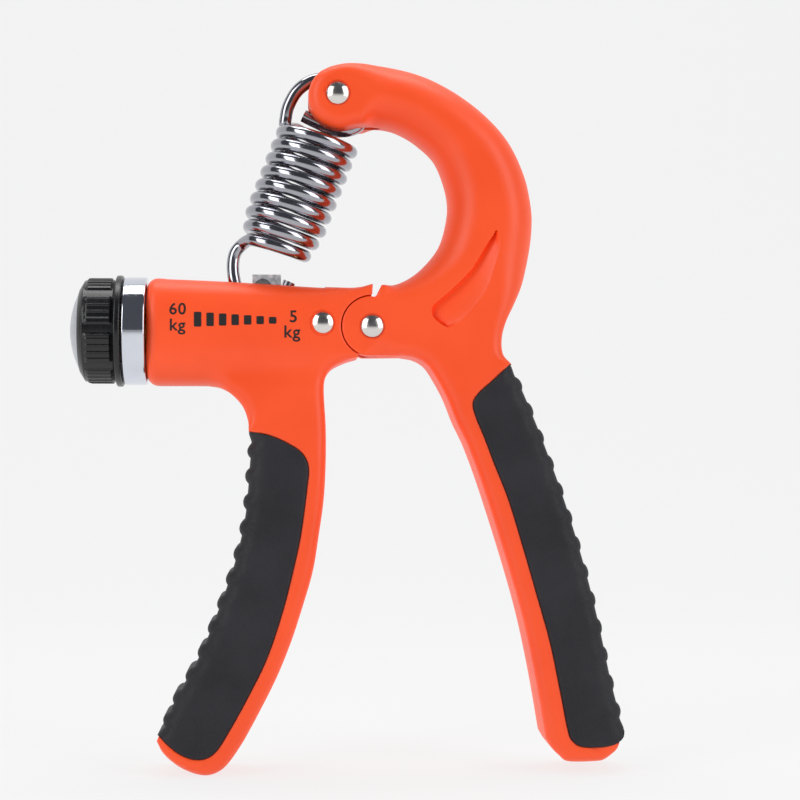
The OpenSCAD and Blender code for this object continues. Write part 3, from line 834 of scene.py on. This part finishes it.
def dress_cad_nodes():
    """Materials and softened edges for the small CAD parts that keep their own shape."""
    looks = {
        "screw_bush": BRASS, "screw_end_block": BRASS, "pivot_bush": BRASS, "pivot_washers": ZINC,
        "knob_screw": ZINC, "thrust_washer": ZINC, "adjusting_screw": ZINC, "screw_clip": ZINC,
        "carriage": CARRIAGE_STEEL, "carriage_pin": NICKEL, "tip_sleeve": NICKEL,
    }
    for node, material in looks.items():
        piece = frame["nodes"][node]
        piece.data.materials.clear()
        piece.data.materials.append(material)
        bevel = piece.modifiers.new("soft_edges", "BEVEL")
        bevel.width = (0.7 if node == "carriage" else 0.15) * MM
        bevel.segments = 4 if node == "carriage" else 2
        bevel.angle_limit = math.radians(50)


# ---------- spring ----------

WIRE_R = 1.3
COIL_R = 7.4
COIL_TAPER = 1.4  # how much smaller the lowest turn's radius is
COIL_SHIFT = -0.7  # of the coil's middle from the line between the rivet and the pin
COIL_PITCH = 2.95
COIL_TURNS = 9
COIL_LOW = 34.2  # down the spring's line, from the tip rivet to the lowest turn
DOWN = np.array(JOINTS["spring_stretch"]["axis"], float)
SIDE = np.array([-DOWN[2], 0, DOWN[0]])
BACKWARD = np.array([0.0, 1.0, 0.0])


def coil_point(turn):
    """A point of the coil, counted in turns up from the left of its lowest turn."""
    a = math.tau * (turn + 0.5)
    radius = COIL_R - COIL_TAPER * float(1 - smoothstep(-0.4, 2.6, turn))
    down = COIL_LOW - COIL_PITCH * turn
    ring = radius * (math.cos(a) * SIDE + math.sin(a) * BACKWARD)
    return TIP + ring + COIL_SHIFT * SIDE + down * DOWN


def spring_path():
    """Points along the wire, from the tip of the lower hook to the end of the upper loop."""
    low_hook = PIVOT + np.array([
        (-16.9, 0, 9.6), (-17.9, 0, 7.4), (-20, 0, 5.6), (-22.6, 0, 4.95), (-25.3, 0, 5.6),
        (-27.4, 0, 7.6), (-28.3, 0, 10.4), (-28.5, 0, 13.2), (-28.0, -0.1, 15.6),
        (-26.5, -0.6, 17.3),
    ])
    top_hook = PIVOT + np.array([
        (-17.6, 0.8, 41.9), (-17.6, 0.2, 44.0), (-17.0, 0, 46.3), (-15.4, 0, 49.1), (-12.9, 0, 51.1),
        (-9.9, 0, 51.9), (-6.7, 0, 51.7), (-3.9, 0, 50.2), (-2.1, 0, 47.6), (-1.6, 0, 44.7),
        (-2.7, 0, 42), (-5.4, 0, 41), (-8.6, 0, 41.6), (-11.6, 0, 42.9), (-14, 0, 44.1),
    ])
    coil = [coil_point(t) for t in np.arange(0.08, COIL_TURNS - 0.1, 1 / 24)]
    return curve(np.vstack([low_hook, coil, top_hook]) * MM, 0.35 * MM)


def stretch(piece, path):
    """Bakes the piece's placement into its mesh and finds the nearest point of the path to each of its
    corners.
    """
    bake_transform(piece)
    tree = KDTree(len(path))
    for i, point in enumerate(path):
        tree.insert(point, i)
    tree.balance()
    nearest = [tree.find(vert.co)[1] for vert in piece.data.vertices]


def spring():
    """One wire in two pieces, cut two and a half turns above the lowest turn."""
    path = spring_path()
    down = (path / MM - TIP) @ DOWN
    split_down = COIL_LOW - COIL_PITCH * 2.5
    past_low_hook = np.arange(len(path)) > len(path) * 0.1
    cut = int(np.argmax((down < split_down) & past_low_hook))
    lower = wire("spring_lower", path[:cut + 1], WIRE_R * MM, SPRING_STEEL, close_end=False)
    upper = wire("spring_upper", path[cut:], WIRE_R * MM, SPRING_STEEL, close_start=False)
    stretch(upper, path[cut:])
    stretch(lower, path[:cut + 1])
    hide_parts("spring_top_loop", "spring_coil")
    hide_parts("spring_bottom_loop")


# ---------- printed scale ----------

INK_H = 0.03
LONGEST_EDGE = 0.7  # of a mark's mesh, so that it can follow the barrel


def press_onto_barrel(obj):
    """Moves a flat mark onto the barrel's round front, a little proud of it."""
    work = bmesh.new()
    work.from_mesh(obj.data)
    for _ in range(2):
        longer = [e for e in work.edges if e.calc_length() > LONGEST_EDGE * MM]
        bmesh.ops.subdivide_edges(work, edges=longer, cuts=1)
    bmesh.ops.triangulate(work, faces=work.faces)
    for vert in work.verts:
        x, z = vert.co.x / MM - PIVOT[0], vert.co.z / MM - PIVOT[2]
        surface = float(barrel_depth(np.array([x]), np.array([z]))[0])
        proud = INK_H if vert.co.y < 0 else -INK_H
        vert.co.y = -(surface + proud) * MM
    work.to_mesh(obj.data)
    work.free()


def mark_bar(name, x, z, width, height):
    """A bar with rounded corners, centred at x and z."""
    radius = 0.25
    across, up = width / 2 - radius, height / 2 - radius
    corners = [(across, up), (-across, up), (-across, -up), (across, -up)]
    outline = join(*[
        arc((x + dx, z + dz), radius, 90 * i, 90 * (i + 1), 0.1) for i, (dx, dz) in enumerate(corners)
    ])
    n = len(outline)
    front = to_row(outline, np.full(n, -1.0))
    back = to_row(outline, np.full(n, 1.0))
    faces = [tuple(range(n)), tuple(range(2 * n - 1, n - 1, -1))]
    faces += [(i, (i + 1) % n, (i + 1) % n + n, i + n) for i in range(n)]
    return make(name, front + back, faces, INK)


def lettering(name, text, x, z, size):
    """Plain letters and numbers of the scale, centred at x."""
    data = bpy.data.curves.new(name, "FONT")
    data.body = text
    data.size = size * MM
    data.align_x = "CENTER"
    data.align_y = "CENTER"
    data.extrude = 0.5 * MM
    data.offset = 0.05 * MM
    data.space_character = 1.1
    data.resolution_u = 6
    source = bpy.data.objects.new(name + "_source", data)
    bpy.context.scene.collection.objects.link(source)
    source.rotation_euler = (math.pi / 2, 0, 0)
    source.location = ((x + PIVOT[0]) * MM, 0, (z + PIVOT[2]) * MM)
    bpy.context.view_layer.update()
    graph = bpy.context.evaluated_depsgraph_get()
    mesh = bpy.data.meshes.new_from_object(source.evaluated_get(graph))
    mesh.transform(source.matrix_world)
    bpy.data.objects.remove(source)
    mesh.materials.clear()
    mesh.materials.append(INK)
    obj = bpy.data.objects.new(name, mesh)
    bpy.context.scene.collection.objects.link(obj)
    return obj


def printed_scale():
    """Seven marks of falling height between the two ends of the scale."""
    pieces = []
    for i in range(7):
        height = 3.0 - 0.27 * i
        pieces.append(mark_bar(f"scale_bar_{i}", -35.3 + 2.52 * i, 1.25 - 0.03 * i, 1.5, height))
    pieces.append(lettering("scale_60", "60", -39.35, 3.25, 3.3))
    pieces.append(lettering("scale_60_kg", "kg", -39.4, 0.0, 3.4))
    pieces.append(lettering("scale_5", "5", -16.0, 1.75, 3.4))
    pieces.append(lettering("scale_5_kg", "kg", -16.3, -1.35, 3.5))
    for piece in pieces:
        press_onto_barrel(piece)
        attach(piece, "barrel_handle")


# ---------- stage, light and camera ----------

CAMERA_AWAY = 425.0  # mm from the middle of the handles
CAMERA_AT = np.array([-14.66, -24.1])  # from the hinge pin: where the lens looks straight on
SENSOR = 36.0  # mm wide
LENS = 92.43936  # mm
TURN = math.radians(2.79)  # to the right
TILT = math.radians(1.25)  # upwards


def camera():
    data = bpy.data.cameras.new("camera")
    data.sensor_width = SENSOR
    data.lens = LENS
    obj = bpy.data.objects.new("camera", data)
    bpy.context.scene.collection.objects.link(obj)
    x, z = CAMERA_AT + PIVOT[[0, 2]]
    obj.location = (x * MM, -CAMERA_AWAY * MM, z * MM)
    obj.rotation_euler = (math.pi / 2 + TILT, 0, -TURN)
    bpy.context.scene.camera = obj


def stage_material():
    """Pale paper that glows softly, less so towards the front."""
    material, nodes, links, shader = new_material("pale_paper")
    shader.inputs["Base Color"].default_value = (0.15, 0.15, 0.15, 1)
    shader.inputs["Roughness"].default_value = 0.9
    shader.inputs["Specular IOR Level"].default_value = 0.0
    place = nodes.new("ShaderNodeTexCoord")
    split = nodes.new("ShaderNodeSeparateXYZ")
    links.new(place.outputs["Object"], split.inputs["Vector"])
    fade = nodes.new("ShaderNodeMapRange")
    fade.interpolation_type = "SMOOTHSTEP"
    fade.inputs["From Min"].default_value = -1.3
    fade.inputs["From Max"].default_value = -0.3
    fade.inputs["To Min"].default_value = 0.38
    fade.inputs["To Max"].default_value = 0.765
    links.new(split.outputs["Y"], fade.inputs["Value"])
    shader.inputs["Emission Color"].default_value = (1, 1, 1, 1)
    links.new(fade.outputs["Result"], shader.inputs["Emission Strength"])
    return material


def stage():
    """A pale sheet: floor in front, sweeping up behind."""
    back, wide, tall, bend = 0.9, 6.0, 2.2, 0.5
    profile = [(-8.0, 0.0), (back - bend, 0.0)]
    for i in range(1, 17):
        a = math.pi / 2 * i / 16
        profile.append((back - bend + bend * math.sin(a), bend - bend * math.cos(a)))
    profile.append((back, tall))
    verts = [(x, y, z) for y, z in profile for x in (-wide, wide)]
    faces = [(2 * i, 2 * i + 1, 2 * i + 3, 2 * i + 2) for i in range(len(profile) - 1)]
    mesh = bpy.data.meshes.new("paper_sweep")
    mesh.from_pydata(verts, [], faces)
    mesh.shade_smooth()
    mesh.materials.append(stage_material())
    obj = bpy.data.objects.new("paper_sweep", mesh)
    bpy.context.scene.collection.objects.link(obj)


def soft_box(name, place, aim, size, power):
    data = bpy.data.lights.new(name, "AREA")
    data.shape = "RECTANGLE"
    data.size, data.size_y = size
    data.energy = power
    obj = bpy.data.objects.new(name, data)
    bpy.context.scene.collection.objects.link(obj)
    obj.location = place
    obj.rotation_euler = (Vector(aim) - Vector(place)).to_track_quat("-Z", "Y").to_euler()


def lights():
    aim = (0, 0, 0.075)
    soft_box("left_box", (-0.75, -0.62, 0.45), aim, (0.55, 1.0), 5.8)
    soft_box("right_box", (0.8, -0.55, 0.45), aim, (0.55, 1.0), 5.6)
    soft_box("top_box", (0.0, 0.1, 0.95), aim, (0.9, 0.4), 5)
    world = bpy.data.worlds.new("studio")
    world.use_nodes = True
    background = world.node_tree.nodes["Background"]
    background.inputs["Color"].default_value = (0.85, 0.88, 1.0, 1)
    background.inputs["Strength"].default_value = 0.1
    bpy.context.scene.world = world
    bpy.context.scene.view_settings.view_transform = "Standard"


camera()
stage()
lights()
barrel_shells()
hook_shells()
grip(
    "barrel_handle_grip_rubber", BARREL_GRIP_INNER, BARREL_GRIP_OUTER,
    count=12, side=-1, relief=BUMP_H, body="barrel_handle",
)
grip(
    "hook_handle_grip_rubber", HOOK_GRIP_INNER + HOOK_GRIP_CORNER, HOOK_GRIP_OUTER,
    count=13, side=1, relief=0.65 * BUMP_H, body="hook_handle",
)
rivet("barrel_rivet", BARREL_RIVET_AT, "barrel_handle")
rivet("pivot_rivet", (0, 0), "hook_handle")
rivet("tip_rivet", TIP_AT, "hook_handle")
knob()
knob_cap()
collar()
dress_cad_nodes()
spring()
printed_scale()
